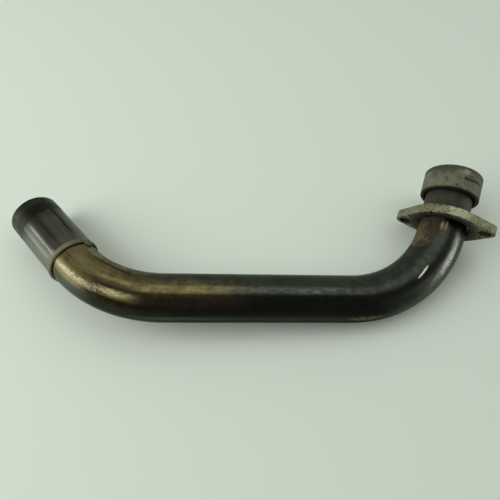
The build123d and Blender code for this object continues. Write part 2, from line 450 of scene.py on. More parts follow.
    # Scuffs along the run's top and the painted side highlight, both laid in bare metal
    scuffs_and_side_highlight = most(along_top, side_highlight * 0.85)
    golden = scaled(finish.straw, 2.4)
    fleck = paint.mix(finish.scuff, golden, step(past_lip, 24, 46) * 0.6)
    paint.lay(fleck, rubbed)
    paint.lay(finish.bare_and_highlight, scuffs_and_side_highlight)
    scuff = most(rubbed, scuffs_and_side_highlight)
    # Painted reflection: a faint pale speckle along the outer side of the port bend
    outer = hump(around, 154, 17) * span(past_foot, -80, -40, -8, 0)
    paint.lay(finish.bare_and_highlight, outer * (0.02 + step(mark, 0.40, 0.62) * 0.11))

    # A painted highlight on top of the port bend, drawn as a fresh scrape in bare metal
    slant = around + (past_bend - 53) * 0.64
    scrape_highlight = hump(past_bend, 53.4, 10) * hump(slant, 100.5, 3.6)
    scrape_highlight = step(scrape_highlight * (0.7 + dashes * 0.6), 0.18, 0.45)
    paint.lay(finish.bare_and_highlight, scrape_highlight)

    # Rust below the flange, ending in a tide line, and under the port bend
    tide = past_foot + speck_off * 5 + blotch_off * 5 - step(around, 48, 84) * 16
    port = step(tide, -29, -26) * step(past_foot, 10, 4)
    inner = step(around + drift * 46 + speck_off * 16, 88, 62) * step(around, -60, -25)
    patch = port * inner * step(blotch + speck_off * 0.5, 0.30, 0.46)
    under = hump(past_bend, 6, 18) * hump(around, 164, 13)
    under = step(under * (0.4 + speck * 1.2), 0.30, 0.62)
    rusty = most(patch, under)
    edge = hump(past_foot, -21, 14) * 0.10 + step(around, 54, 16) * 0.22
    fresh = step(speck * 0.40 + blotch * 0.80 + edge, 0.64, 0.86)
    scale = paint.mix(finish.old_rust, finish.rust, fresh + under * 0.4)
    flecks = step(dashes * 0.6 + speck * 0.4, 0.50, 0.60) * step(around, 70, 30)
    scale = paint.mix(scale, finish.straw, flecks * 0.78)
    # A dark patch in the rust, and painted shadow of the flange on the tube just below it, both in the soot
    # colour
    dark_patch_and_shadow = hump(around + blotch_off * 24, 46, 17) * hump(past_foot, -5.5, 7)
    dark_patch_and_shadow = most(dark_patch_and_shadow, step(past_foot, -4, 1) * step(around, 56, 40))
    scale = paint.mix(scale, finish.soot_and_shade, dark_patch_and_shadow * 0.62)
    paint.lay(scale, rusty * (0.72 + speck * 0.3) * (1 - under * 0.35))
    crumbs = under * step(dashes * 0.4 + speck * 0.6, 0.42, 0.60)
    paint.lay(finish.pale_rust, crumbs * 0.55)
    lines = most(hump(around, 74, 7), hump(around, 83.5, 6.4))
    lines = lines * hump(past_foot, -2.8, 7.6)
    lines = step(lines * (0.10 + speck * 1.6), 0.08, 1)
    paint.lay(finish.pale_rust, lines * 0.8)
    dry = most(rusty, lines)

    # Dull oxide on the neck, inside the flange and the collar
    neck = step(past_foot, 2, 8)
    oxide = paint.mix(finish.oxide, finish.umber_and_shade, step(blotch + speck_off * 0.5, 0.42, 0.66) * 0.65)
    pale_side = 1 - beyond(around + blotch_off * 40, 15, 70)
    oxide = paint.mix(oxide, finish.flank, pale_side * 0.35)
    oxide = paint.mix(oxide, finish.collar_dark, beyond(around, 88, 118) * 0.55)
    paint.lay(oxide, neck * 0.9)
    paint.lay(finish.soot_and_shade, step(along, 5, 1) * 0.9)
    dull = step(past_bend, -30, 40)
    rough = 0.21 + dull * 0.08 + fine_off * 0.14 + blotch_off * 0.12 + stained * 0.08
    rough = rough + dry * 0.32 + neck * 0.26 + scuff * 0.25 + scrape_highlight * 0.2
    rough = rough + haze * 0.12 + below * 0.2 + outer * 0.14 + duller * 0.22
    metal = 1 - dry * 0.7 - neck * 0.2 - scuff * 0.6 - scrape_highlight * 0.4 - haze * 0.35
    height = fine * 0.25 + speck * dry * 1.6 + speck * 0.20 + blotch * 0.8
    paint.feed(Base_Color=paint.base, Roughness=rough, Metallic=metal,
               Normal=paint.bump(height, 0.06 * MM, 0.5))
    return paint.material


def soot_material(finish):
    """Dry, sooty scale inside the tube."""
    paint = Shader("tube_soot", Metallic=0, Roughness=0.92)
    place = paint.place()
    flake = paint.grain(place, 0.35, 4, 0.65, 5)
    brown = paint.mix(finish.soot_and_shade, finish.rust, paint.step(flake, 0.45, 0.85) * 0.22)
    paint.feed(Base_Color=brown, Normal=paint.bump(flake, 0.25 * MM, 0.6))
    return paint.material


def sleeve_material(finish, long):
    """Bright drawn steel with painted light: lit on one side with a painted highlight line, a haze in
    painted shade with painted reflection bands on the other, a sooty band at the open end and a straw lip.

    Places round the sleeve are in degrees, and along it in millimetres from the lip's edge.
    """
    paint = Shader("sleeve_steel", Specular_Tint=(0.7, 0.7, 0.7), Specular_IOR_Level=0.2)
    step, hump, span, beyond, most = paint.step, paint.hump, paint.span, paint.beyond, paint.most
    place = paint.place()
    level, upright, along = paint.parts(place)
    around = paint.angle(level, upright)
    drawn = paint.join(level, upright, along * 0.05)
    streak = paint.grain(drawn, 0.30, 4, 0.6, 11)
    fine = paint.grain(drawn, 1.3, 3, 0.6, 12)
    cloud = paint.grain(place, 0.075, 4, 0.6, 13)
    mottle = paint.grain(place, 0.22, 4, 0.65, 15)
    speck = paint.grain(place, 0.7, 3, 0.65, 14)
    grains = (streak, fine, cloud, mottle, speck)
    streak_off, fine_off, cloud_off, mottle_off, speck_off = (grain - 0.5 for grain in grains)

    # Painted light: lit steel on the near side with a painted highlight line, shaded steel beyond, and an
    # olive haze with painted shade over the far side, lightened in painted reflection bands and crossed by
    # two painted dark reflection lines
    hazy_shaded_side = beyond(around + streak_off * 18, 68, 96)
    light = hump(around + cloud_off * 10, 112, 18) + hump(around, 152, 12) * 0.8
    lit_steel = scaled(finish.steel, 1.5)
    # A painted highlight line along the sleeve, laid in lit steel
    highlight_line = hump(around + streak_off * 3, 65.5, 4.5) * step(along, long - 16, long - 26)
    shaded_steel = scaled(finish.steel, 0.64)
    # Painted light and shade: the lit copy on the near side, the shaded copy from 44 to 59 degrees on
    paint.base = paint.mix(lit_steel, shaded_steel, beyond(around, 44, 59))
    paint.lay(lit_steel, highlight_line)
    # Olive haze and painted shade over the far side, lightened where light marks painted reflection bands
    paint.lay(finish.sleeve_haze_and_shade, hazy_shaded_side * 0.8)
    paint.lay(finish.sleeve_soot_and_shade, hazy_shaded_side * (1 - light) * (0.10 + streak * 0.5))
    paint.lay(finish.sleeve_soot_and_shade, step(streak + fine_off * 0.4, 0.44, 0.66) * 0.35)
    # Two painted dark reflection lines along the far side
    wavy = around + cloud_off * 16 + streak_off * 8
    lines = most(hump(wavy, 87, 6) * 0.45, hump(wavy, 131, 7.5) * 0.95)
    paint.lay(finish.sleeve_soot_and_shade, lines * step(along, 8, 20))

    # Soot: a ragged ring, a lighter zone and a black rim
    edge = along + cloud_off * 9 + mottle_off * 7 + streak_off * 5
    edge = edge - beyond(around, 70, 120) * 1.5
    torn = edge + speck_off * 5
    ring = span(torn, long - 19.2, long - 17.2, long - 11, long - 7.8)
    ring = ring * (0.60 + beyond(around, 62, 100) * 0.40)
    zone = step(edge, long - 13, long - 9) * (0.20 + mottle * 0.6)
    ramp = step(edge + speck_off * 4, long - 31, long - 17) * 0.55
    paint.lay(finish.sleeve_soot_and_shade, ramp)
    rim = step(along + speck_off * 0.8, long - 1.6, long - 0.9)
    paint.lay(finish.sleeve_soot_and_shade, zone)
    black = scaled(finish.sleeve_soot_and_shade, 0.4)
    paint.lay(black, most(ring * (0.75 + speck * 0.3), rim * 0.85))
    dirty = most(most(ring, zone), rim)

    # Straw lip, with painted shade over its far side
    lip = step(along + speck_off * 1.6, 5.2, 3)
    haze = step(along + cloud_off * 14, 16, 6)
    paint.lay(finish.lip_straw, haze * 0.15)
    # A shaded copy of the lip's straw: painted shade
    lip_straw_shaded = scaled(finish.lip_straw, 0.55)
    straw = paint.mix(finish.lip_straw, lip_straw_shaded, beyond(around + mottle_off * 30, 92, 132))
    paint.lay(straw, lip * (0.75 + speck * 0.25))
    rough = 0.20 + fine_off * 0.10 + dirty * 0.24 + lip * 0.28
    paint.feed(Base_Color=paint.base, Roughness=rough, Metallic=1 - dirty * 0.25 - lip * 0.45,
               Normal=paint.bump(fine * 0.4 + speck * 0.3 + cloud * dirty * 1.5, 0.05 * MM, 0.5))
    return paint.material


def collar_material(finish, tall):
    """Dull turned steel, stained, gouged and rubbed in patches.

    Places round the collar are in degrees, and along it in millimetres from its lower face.
    """
    paint = Shader("collar_steel", Specular_IOR_Level=0.3)
    step, hump, span, beyond, most = paint.step, paint.hump, paint.span, paint.beyond, paint.most
    place = paint.place()
    level, upright, along = paint.parts(place)
    cloud = paint.grain(place, 0.085, 4, 0.62, 21)
    mottle = paint.grain(place, 0.24, 4, 0.65, 25)
    speck = paint.grain(place, 0.65, 3, 0.65, 22)
    cloud_off, mottle_off, speck_off = (grain - 0.5 for grain in (cloud, mottle, speck))
    lathe = paint.grain(paint.join(level * 0.06, upright * 0.06, along), 2.2, 3, 0.6, 23)
    around = paint.angle(level, upright)
    patchy = step(mottle + speck_off * 0.4, 0.44, 0.58)
    paint.base = paint.mix(finish.collar, finish.collar_pale, patchy * 0.55)

    # Yellowish patches at the left, a stained top band and clouds
    warm = hump(around + mottle_off * 50, 30, 38) * hump(along + cloud_off * 10, 6.5, 8)
    paint.lay(finish.collar_pale, warm * 0.45)
    top = step(along + cloud_off * 10 + mottle_off * 5, tall - 6.5, tall - 3.5)
    cloudy = step(cloud + mottle_off * 1.1, 0.45, 0.60) * 0.80 * (1 - warm * 0.7)
    right = beyond(around, 84, 112) * (0.30 + mottle * 0.4)
    stain = most(most(top * 0.95, cloudy), right)
    paint.lay(finish.collar_dark, stain)

    # Rubbed patch above the gouge, with the gouge's dark floor
    rubbed = hump(around + mottle_off * 40, 96, 21)
    rubbed = rubbed * hump(along + speck_off * 4, 15.2, 5.2)
    rubbed = step(rubbed * (0.25 + speck * 1.2), 0.25, 0.85)
    paint.lay(finish.collar_rubbed, rubbed * 0.8)
    gouge = 10 + step(around, 100, 125) * 0.8
    thin = 1 + step(around, 94, 128) * 1.4
    torn = speck_off * 4.4 + mottle_off * 3
    scar = hump((along - gouge + torn) * thin, 0, 2.8) * span(around, 90, 95, 130, 152)
    wake = hump(along - gouge, 2.5, 3) * hump(around, 108, 18) * 0.5
    paint.lay(finish.sleeve_soot_and_shade, most(step(scar, 0.15, 0.85) * 0.70, wake * mottle))
    pits = step(paint.cells(place, 0.55), 0.22, 0.10) * step(mottle, 0.50, 0.62)
    near = hump(around, 82, 10) * hump(along, 3.4, 2.2)
    pits = most(pits * 0.7, step(near * speck, 0.28, 0.45))
    paint.lay(finish.soot_and_shade, pits * 0.85)
    # Painted shade along the collar's lower edge and underside, in the soot colour
    shaded_brim = step(along + speck_off * 0.8, 1.7, 0.6)
    paint.lay(finish.soot_and_shade, shaded_brim * 0.85)
    rough = 0.52 + speck_off * 0.2 - rubbed * 0.08 + stain * 0.08
    height = lathe * 0.5 + speck * 0.7 + mottle * 1.2 - pits * 3
    paint.feed(Base_Color=paint.base, Roughness=rough, Metallic=0.3 - stain * 0.15,
               Normal=paint.bump(height, 0.09 * MM, 0.6))
    return paint.material


def flange_material(finish, thick, half, hole, bore):
    """Worn pale plating: rubbed, pitted and painted with highlights on the rim; sooty on the faces; painted
    shade at the bore and stud holes.

    Places are in millimetres from the plate's middle, and so are its sizes.
    """
    paint = Shader("flange_plating", Specular_IOR_Level=0.25)
    step, hump, most = paint.step, paint.hump, paint.most
    place = paint.place()
    long_way, across, deep = paint.parts(place)
    cloud = paint.grain(place, 0.10, 4, 0.6, 31)
    mottle = paint.grain(place, 0.26, 4, 0.65, 34)
    speck = paint.grain(place, 0.60, 4, 0.7, 32)
    cloud_off, speck_off = (grain - 0.5 for grain in (cloud, speck))
    face = step(paint.sum("ABSOLUTE", deep), thick / 2 - 0.25, thick / 2 - 0.02)

    # Rim: rubbed, with painted highlights in the middle and along the lower edge, dirtier towards the ears
    # middle marks a painted highlight on the rim, kept clear of the stains
    middle = hump(long_way, 12, 12) * step(across, -10, -18)
    worn = step(speck * 0.6 + mottle * 0.5 + middle * 0.26, 0.58, 0.76)
    # Painted highlight along the rim's lower edge, over worn plating
    bare_and_highlight = hump(deep, 0.35 - thick / 2, 0.55) * step(mottle, 0.40, 0.60)
    worn = most(worn, bare_and_highlight * 0.7)
    paint.base = paint.mix(finish.plating, finish.worn_plating_and_highlight, worn * (1 - face * 0.8) * 0.85)
    ears = most(step(long_way, -16, -31), step(long_way, 28, 38) * 0.8)
    paint.lay(finish.collar_dark, ears * mottle * 0.5)
    greyed = step(cloud + speck_off * 0.5, 0.44, 0.60) * (1 - face)
    paint.lay(finish.collar_rubbed, greyed * (0.20 + ears * 0.4) * (1 - middle))
    stained = step(mottle * 0.5 + speck * 0.5, 0.49, 0.40) * (1 - face)
    paint.lay(finish.plating_dirt, stained * (0.50 - middle * 0.40))

    # Faces: grime with rubbed places
    grime = step(mottle + speck_off * 0.7, 0.42, 0.56)
    ear = step(paint.sum("ABSOLUTE", long_way), 20, 27)
    paint.lay(finish.plating_dirt, face * (0.38 - ear * 0.14 + grime * (0.57 + ear * 0.08)))
    pulled = paint.join(long_way * 0.22 + across * 0.10, across - long_way * 0.35, deep)
    drag = paint.grain(pulled, 0.9, 3, 0.7, 37)
    lower = face * (0.12 + step(deep, 1, -1) * 0.88)
    scratched = step(drag + cloud_off * 0.3, 0.54, 0.63) * lower * (0.25 + ear * 0.60)
    dug = step(drag + cloud_off * 0.3, 0.44, 0.36) * lower * ear
    paint.lay(finish.soot_and_shade, dug * 0.8)
    paint.lay(finish.worn_plating_and_highlight, scratched)
    out = paint.sum("SQRT", long_way * long_way + across * across)
    # Soot and painted shade on the faces round the bore, and painted shade on the bore's wall
    paint.lay(finish.soot_and_shade, step(out + (mottle - 0.5) * 12, 27, 20.5) * face * 0.90)
    paint.lay(finish.soot_and_shade, step(out, bore + 1.5, bore + 0.5) * 0.9)

    # Pits, nick, and painted shade inside the stud holes
    upper = step(deep, 0.5, 2.8) * 0.11
    pits = step(paint.cells(place, 0.42), 0.34, 0.20)
    pits = pits * step(mottle + speck_off * 0.6 + upper, 0.46, 0.54)
    ragged = paint.grain(paint.join(long_way, across, deep * 0.5), 0.50, 3, 0.7, 36)
    chips = step(ragged, 0.55, 0.62) * step(deep + speck_off * 2, 1.4, 2.4) * (1 - face)
    pits = most(pits, chips)
    nick = hump(long_way, -7.2, 1.3) * step(across, -20, -24) * hump(deep, -thick / 2, 1.6)
    pits = most(pits, step(nick, 0.10, 0.50))
    paint.lay(finish.soot_and_shade, pits * 0.9)
    # Painted shade inside the stud holes, in the soot colour
    off = paint.sum("ABSOLUTE", long_way) - half
    near = paint.sum("SQRT", off * off + across * across)
    shaded_hole = step(near, hole + 0.6, hole - 0.1)
    paint.lay(finish.soot_and_shade, shaded_hole * 0.9)
    rough = 0.45 + face * 0.18 + speck_off * 0.2 + shaded_hole * 0.3
    paint.feed(Base_Color=paint.base, Roughness=rough, Metallic=0.35 - face * 0.2 - pits * 0.1,
               Normal=paint.bump(speck * 0.8 + mottle - pits * 3, 0.10 * MM, 0.7))
    return paint.material


def weld_material(finish):
    """Rough grey weld metal."""
    paint = Shader(WELD, Metallic=0, Specular_IOR_Level=0.25)
    place = paint.place()
    speck = paint.grain(place, 0.9, 4, 0.65, 41)
    grey = paint.mix(finish.weld, finish.soot_and_shade, paint.step(speck, 0.45, 0.70) * 0.6)
    paint.feed(Base_Color=grey, Roughness=0.75 + speck * 0.2, Normal=paint.bump(speck, 0.2 * MM, 0.6))
    return paint.material


def floor_material(stage):
    """Pale matt table."""
    paint = Shader("table", Metallic=0, Roughness=0.9, Specular_IOR_Level=0)
    paint.feed(Base_Color=stage.floor)
    return paint.material


class Nodes(Tree):
    """A Geometry Nodes tree under construction, with named inputs."""

    def __init__(self, name):
        super().__init__(bpy.data.node_groups.new(name, "GeometryNodeTree"))
        self.tree.is_modifier = True
        self.names = {}
        self.source = self.tree.nodes.new("NodeGroupInput")
        self.sink = self.tree.nodes.new("NodeGroupOutput")
        self.start = self.ask("Geometry", "NodeSocketGeometry")
        self.tree.interface.new_socket(name="Geometry", in_out="OUTPUT", socket_type="NodeSocketGeometry")

    def ask(self, name, kind, default=None):
        """Adds a named input to the tree."""
        socket = self.tree.interface.new_socket(name=name, in_out="INPUT", socket_type=kind)
        if default is not None:
            socket.default_value = default
        self.names[name] = socket.identifier
        return Value(self, self.source.outputs[name])

    def vector(self, operation, first, second, output=0):
        return self.node("ShaderNodeVectorMath", {"operation": operation}, {0: first, 1: second}, output)

    def store(self, geometry, name, kind, value):
        return self.node("GeometryNodeStoreNamedAttribute", {"data_type": kind, "domain": "POINT"},
                         {"Geometry": geometry, "Name": name, "Value": value})

    def recall(self, name, kind):
        return self.node("GeometryNodeInputNamedAttribute", {"data_type": kind}, {"Name": name})

    def finish(self, geometry, material):
        """Ends the tree with real geometry in its material."""
        geometry = self.node("GeometryNodeRealizeInstances", {}, {"Geometry": geometry})
        geometry = self.node("GeometryNodeSetMaterial", {}, {"Geometry": geometry, "Material": material})
        self.plug(self.sink.inputs[0], geometry)

    def put_on(self, thing, **inputs):
        """Adds the tree to an object, with its inputs set before it is first worked out."""
        modifier = thing.modifiers.new(self.tree.name, "NODES")
        modifier.node_group = self.tree
        for name, value in inputs.items():
            modifier[self.names[name.replace("_", " ")]] = value


def sweep_nodes():
    """A round tube along a cornered route, with each corner bent to its own radius."""
    nodes = Nodes("Bent tube")
    radius = nodes.ask("Tube radius", "NodeSocketFloat", 17.5 * MM)
    points = nodes.ask("Ring points", "NodeSocketInt", TUBE_POINTS)
    spacing = nodes.ask("Ring spacing", "NodeSocketFloat", TUBE_RING_SPACING)
    material = nodes.ask("Material", "NodeSocketMaterial")
    route = nodes.node("GeometryNodeMeshToCurve", {}, {"Mesh": nodes.start})
    bend = nodes.recall("bend_radius", "FLOAT")
    route = nodes.node("GeometryNodeFilletCurve", {"mode": "POLY"},
                       {"Curve": route, "Count": BEND_POINTS, "Radius": bend, "Limit Radius": True})
    route = nodes.node("GeometryNodeResampleCurve", {"mode": "LENGTH"}, {"Curve": route, "Length": spacing})
    point = nodes.node("GeometryNodeInputPosition", {}, {})
    way = nodes.node("GeometryNodeInputTangent", {}, {})
    far = nodes.node("GeometryNodeSplineParameter", {}, {}, "Length")
    route = nodes.store(route, "route_point", "FLOAT_VECTOR", point)
    route = nodes.store(route, "route_way", "FLOAT_VECTOR", way)
    route = nodes.store(route, "route_length", "FLOAT", far)
    ring = nodes.node("GeometryNodeCurvePrimitiveCircle", {}, {"Resolution": points, "Radius": radius})
    tube = nodes.node("GeometryNodeCurveToMesh", {},
                      {"Curve": route, "Profile Curve": ring, "Fill Caps": False})
    way = nodes.recall("route_way", "FLOAT_VECTOR")
    out = nodes.vector("SUBTRACT", point, nodes.recall("route_point", "FLOAT_VECTOR"))
    level = nodes.vector("NORMALIZE", nodes.vector("CROSS_PRODUCT", (0.0, 0.0, 1.0), way), (0.0, 0.0, 0.0))
    upright = nodes.vector("CROSS_PRODUCT", way, level)
    own = nodes.node("ShaderNodeCombineXYZ", {}, {
        0: nodes.recall("route_length", "FLOAT"),
        1: nodes.vector("DOT_PRODUCT", out, level, "Value"),
        2: nodes.vector("DOT_PRODUCT", out, upright, "Value"),
    })
    tube = nodes.store(tube, OWN_PLACE, "FLOAT_VECTOR", own)
    nodes.finish(tube, material)
    return nodes


def bead_nodes():
    """A ring of weld ripples: one round drop, repeated round a circle with a little unevenness."""
    nodes = Nodes("Weld bead")
    radius = nodes.ask("Bead radius", "NodeSocketFloat", 16.9 * MM)
    drop_size = nodes.ask("Drop size", "NodeSocketFloat", 1.0 * MM)
    count = nodes.ask("Drops", "NodeSocketInt", BEAD_DROPS)
    seed = nodes.ask("Seed", "NodeSocketInt", BEAD_SEED)
    material = nodes.ask("Material", "NodeSocketMaterial")
    ring = nodes.node("GeometryNodeCurvePrimitiveCircle", {},
                      {"Resolution": 2 * BEAD_DROPS, "Radius": radius})
    points = nodes.node("GeometryNodeCurveToPoints", {"mode": "COUNT"},
                        {"Curve": ring, "Count": count}, "Points")
    drop = nodes.node("GeometryNodeMeshUVSphere", {}, {"Segments": 14, "Rings": 9, "Radius": drop_size})
    uneven = nodes.node("FunctionNodeRandomValue", {"data_type": "FLOAT_VECTOR"},
                        {0: (0.85, 0.85, 0.85), 1: (1.08, 1.08, 1.08), "Seed": seed})
    drops = nodes.node("GeometryNodeInstanceOnPoints", {},
                       {"Points": points, "Instance": drop, "Scale": uneven})
    nodes.finish(drops, material)
    return nodes


def plain_mesh(thing, name):
    """The worked-out form of an object as a plain mesh."""
    graph = bpy.context.evaluated_depsgraph_get()
    mesh = bpy.data.meshes.new_from_object(thing.evaluated_get(graph), preserve_all_data_layers=True,
                                           depsgraph=graph)
    mesh.name = name
    return mesh


def drop_object(thing):
    data = thing.data
    bpy.data.objects.remove(thing)
    if data.users == 0:
        bpy.data.batch_remove([data])


def new_object(name, data):
    thing = bpy.data.objects.new(name, data)
    bpy.context.scene.collection.objects.link(thing)
    return thing


def set_own_place(mesh, places):
    layer = mesh.attributes.get(OWN_PLACE) or mesh.attributes.new(OWN_PLACE, "FLOAT_VECTOR", "POINT")
    for item, place in zip(layer.data, places):
        item.vector = place


def smooth(mesh, sharp_from):
    """Smooth shading, with edges sharp from this many degrees."""
    mesh.shade_smooth()
    mesh.set_sharp_from_angle(angle=radians(sharp_from))


def turned_mesh(name, station, outline, segments, shape=None):
    """A closed outline of (radius, along) turned about a station's axis.

    shape(angle, radius, along) gives the radius and place along the axis of a point that it moves.
    """
    places = []
    for radius, along in outline:
        for index in range(segments):
            angle = 2 * pi * index / segments
            r, a = (radius, along) if shape is None else shape(angle, radius, along)
            places.append(Vector((r * cos(angle), r * sin(angle), a)))
    faces = []
    rows = len(outline)
    for row in range(rows):
        next_row = (row + 1) % rows
        for index in range(segments):
            after = (index + 1) % segments
            faces.append((row * segments + index, row * segments + after,
                          next_row * segments + after, next_row * segments + index))
    mesh = bpy.data.meshes.new(name)
    mesh.from_pydata([station.at(*place) for place in places], [], faces)
    set_own_place(mesh, places)
    return mesh


def rounded(outline, radius, steps=3):
    """A closed outline with each corner rounded. Corners on a straight line stay as they are."""
    nearly_straight = radians(165)
    most_of_side = 0.45
    made = []
    count = len(outline)
    for index, corner in enumerate(outline):
        here = Vector(corner)
        back = Vector(outline[index - 1]) - here
        ahead = Vector(outline[(index + 1) % count]) - here
        angle = back.angle(ahead)
        if angle > nearly_straight:
            made.append(tuple(here))
            continue
        trim = min(radius / tan(angle / 2), back.length * most_of_side, ahead.length * most_of_side)
        start = here + back.normalized() * trim
        end = here + ahead.normalized() * trim
        for step in range(steps + 1):
            t = step / steps
            made.append(tuple(start.lerp(here, t).lerp(here.lerp(end, t), t)))
    return made


def divided(outline, spacing):
    """A closed outline with points added so that none are further apart than the spacing."""
    made = []
    for index, corner in enumerate(outline):
        here = Vector(corner)
        ahead = Vector(outline[(index + 1) % len(outline)])
        pieces = max(1, round((ahead - here).length / spacing))
        made.extend(tuple(here.lerp(ahead, step / pieces)) for step in range(pieces))
    return made


def move_out(mesh, places, put):
    """Keeps the points' own places, and puts each where it belongs on the object."""
    set_own_place(mesh, places)
    for vertex, place in zip(mesh.vertices, places):
        vertex.co = put(place)


def settle(thing, body, slot_name, *nodes):
    """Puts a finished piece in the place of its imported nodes."""
    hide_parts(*nodes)
    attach(thing, body)


def shared_weld(finish):
    return bpy.data.materials.get(WELD) or weld_material(finish)


class BuildTube(bpy.types.Operator):
    """Make the bent, heat-tinted tube"""

    bl_idname = "header.build_tube"
    bl_label = "Tube"

    def execute(self, context):
        sizes = context.scene.header_sizes
        finish = context.scene.header_finish
        route, way = self.route(sizes)
        draft = new_object("route", route)
        sweep_nodes().put_on(draft, Tube_radius=size_of("port_bore", "r_mm") + sizes.tube_wall,
                             Ring_points=TUBE_POINTS, Ring_spacing=TUBE_RING_SPACING,
                             Material=tube_material(finish, way))
        mesh = plain_mesh(draft, "tube")
        drop_object(draft)
        for name in ("route_point", "route_way", "route_length", "bend_radius"):
            mesh.attributes.remove(mesh.attributes[name])
        mesh.materials.append(soot_material(finish))
        smooth(mesh, 40)
        thing = new_object("tube", mesh)
        wall = thing.modifiers.new("wall", "SOLIDIFY")
        wall.thickness = sizes.tube_wall
        wall.offset = -1.0
        wall.material_offset = 1
        walled = plain_mesh(thing, "tube_walled")
        thing.modifiers.remove(wall)
        thing.data = walled
        bpy.data.meshes.remove(mesh)
        settle(thing, "header", "tinted_tube", "header_tube")
        return {"FINISHED"}

    def route(self, sizes):
        """The tube's cornered route, and where its stretches begin in millimetres from the muffler end."""
        tail_foot, tail_end = mount_end("muffler_bore", -0.5), mount_end("muffler_bore", 0.5)
        neck_foot, mouth = mount_end("port_bore", -0.5), mount_end("port_bore", 0.5)
        muffler_reach = sizes.muffler_bend_radius * tan(sizes.muffler_bend_angle / 2)
        muffler_corner = tail_foot.at(along=-muffler_reach)
        port_reach = sizes.port_bend_radius * tan(sizes.port_bend_angle / 2)
        port_corner = neck_foot.at(along=-port_reach)
        mesh = bpy.data.meshes.new("route")
        mesh.from_pydata([tail_end.origin, muffler_corner, port_corner, mouth.origin],
                         [(0, 1), (1, 2), (2, 3)], [])
        radii = mesh.attributes.new("bend_radius", "FLOAT", "POINT")
        for item, radius in zip(radii.data, (0.0, sizes.muffler_bend_radius, sizes.port_bend_radius, 0.0)):
            item.value = radius
        way = {}
        far = 0.0
        for name, stretch in (
                ("lip", size_of("muffler_bore", "length_mm")),
                ("run_start", sizes.muffler_bend_radius * sizes.muffler_bend_angle),
                ("bend_start", (port_corner - muffler_corner).length - muffler_reach - port_reach),
                ("neck_foot", sizes.port_bend_radius * sizes.port_bend_angle)):
            far += stretch
            way[name] = far / MM
        return mesh, way


class BuildSleeve(bpy.types.Operator):
    """Make the muffler sleeve with its flared lip, and the tack that holds it"""

    bl_idname = "header.build_sleeve"
    bl_label = "Sleeve and tack"

    def execute(self, context):
        sizes = context.scene.header_sizes
        finish = context.scene.header_finish
        outer = size_of("muffler_spigot", "r_mm")
        inner = outer - sizes.sleeve_wall
        long = sizes.lip_length + size_of("muffler_spigot", "length_mm")
        lip_edge = mount_end("muffler_spigot", -0.5).moved(-sizes.lip_length)
        roll = sizes.lip_length * 0.28
        outline = [(inner + 0.15 * MM, 0.0), (inner, sizes.lip_length), (inner, long), (outer, long),
                   (outer, sizes.lip_length), (outer + sizes.lip_flare, roll),
                   (outer + sizes.lip_flare * 0.6, roll * 0.3)]
        outline = divided(rounded(outline, EDGE_ROUND, 5), 2.5 * MM)
        mesh = turned_mesh("sleeve", lip_edge, outline, SLEEVE_POINTS)
        mesh.materials.append(sleeve_material(finish, long / MM))
        smooth(mesh, 40)
        settle(new_object("sleeve", mesh), "header", "sleeve_steel", "muffler_sleeve")
        tack = self.tack_mesh(sizes, lip_edge, size_of("muffler_bore", "r_mm") + sizes.tube_wall)
        tack.materials.append(shared_weld(finish))
        settle(new_object("tack", tack), "header", "weld_metal", "sleeve_tack")
        return {"FINISHED"}

    def tack_mesh(self, sizes, lip_edge, tube_radius):
        """A lumpy drop of weld, seated on the tube at the lip's edge."""
        rings, segments = 14, 26
        seat = 0.4 * MM
        middle = Vector((cos(sizes.tack_turn), sin(sizes.tack_turn), 0.0))
        across = Vector((-sin(sizes.tack_turn), cos(sizes.tack_turn), 0.0))
        axis = Vector((0.0, 0.0, 1.0))
        places = []
        for ring in range(1, rings):
            tall = pi * ring / rings
            for index in range(segments):
                angle = 2 * pi * index / segments
                ball = Vector((sin(tall) * cos(angle), sin(tall) * sin(angle), cos(tall)))
                lump = 1.0 + 0.16 * noise.noise(ball * 1.7 + Vector((3.0, 0.0, 1.0)))
                lump += 0.06 * noise.noise(ball * 5.0)
                place = (axis * (ball.x * sizes.tack_length / 2) + across * (ball.y * sizes.tack_width / 2)
                         + middle * (ball.z * sizes.tack_height)) * lump
                places.append(place + middle * tube_radius + axis * seat)
        places.append(middle * (tube_radius + sizes.tack_height) + axis * seat)
        places.append(middle * (tube_radius - sizes.tack_height) + axis * seat)
        faces = []
        for ring in range(rings - 2):
            for index in range(segments):
                after = (index + 1) % segments
                faces.append((ring * segments + index, (ring + 1) * segments + index,
                              (ring + 1) * segments + after, ring * segments + after))
        last = (rings - 2) * segments
        for index in range(segments):
            after = (index + 1) % segments
            faces.append((len(places) - 2, index, after))
            faces.append((len(places) - 1, last + after, last + index))
        mesh = bpy.data.meshes.new("tack")
        mesh.from_pydata([lip_edge.at(*place) for place in places], [], faces)
        set_own_place(mesh, places)
        smooth(mesh, 70)
        return mesh


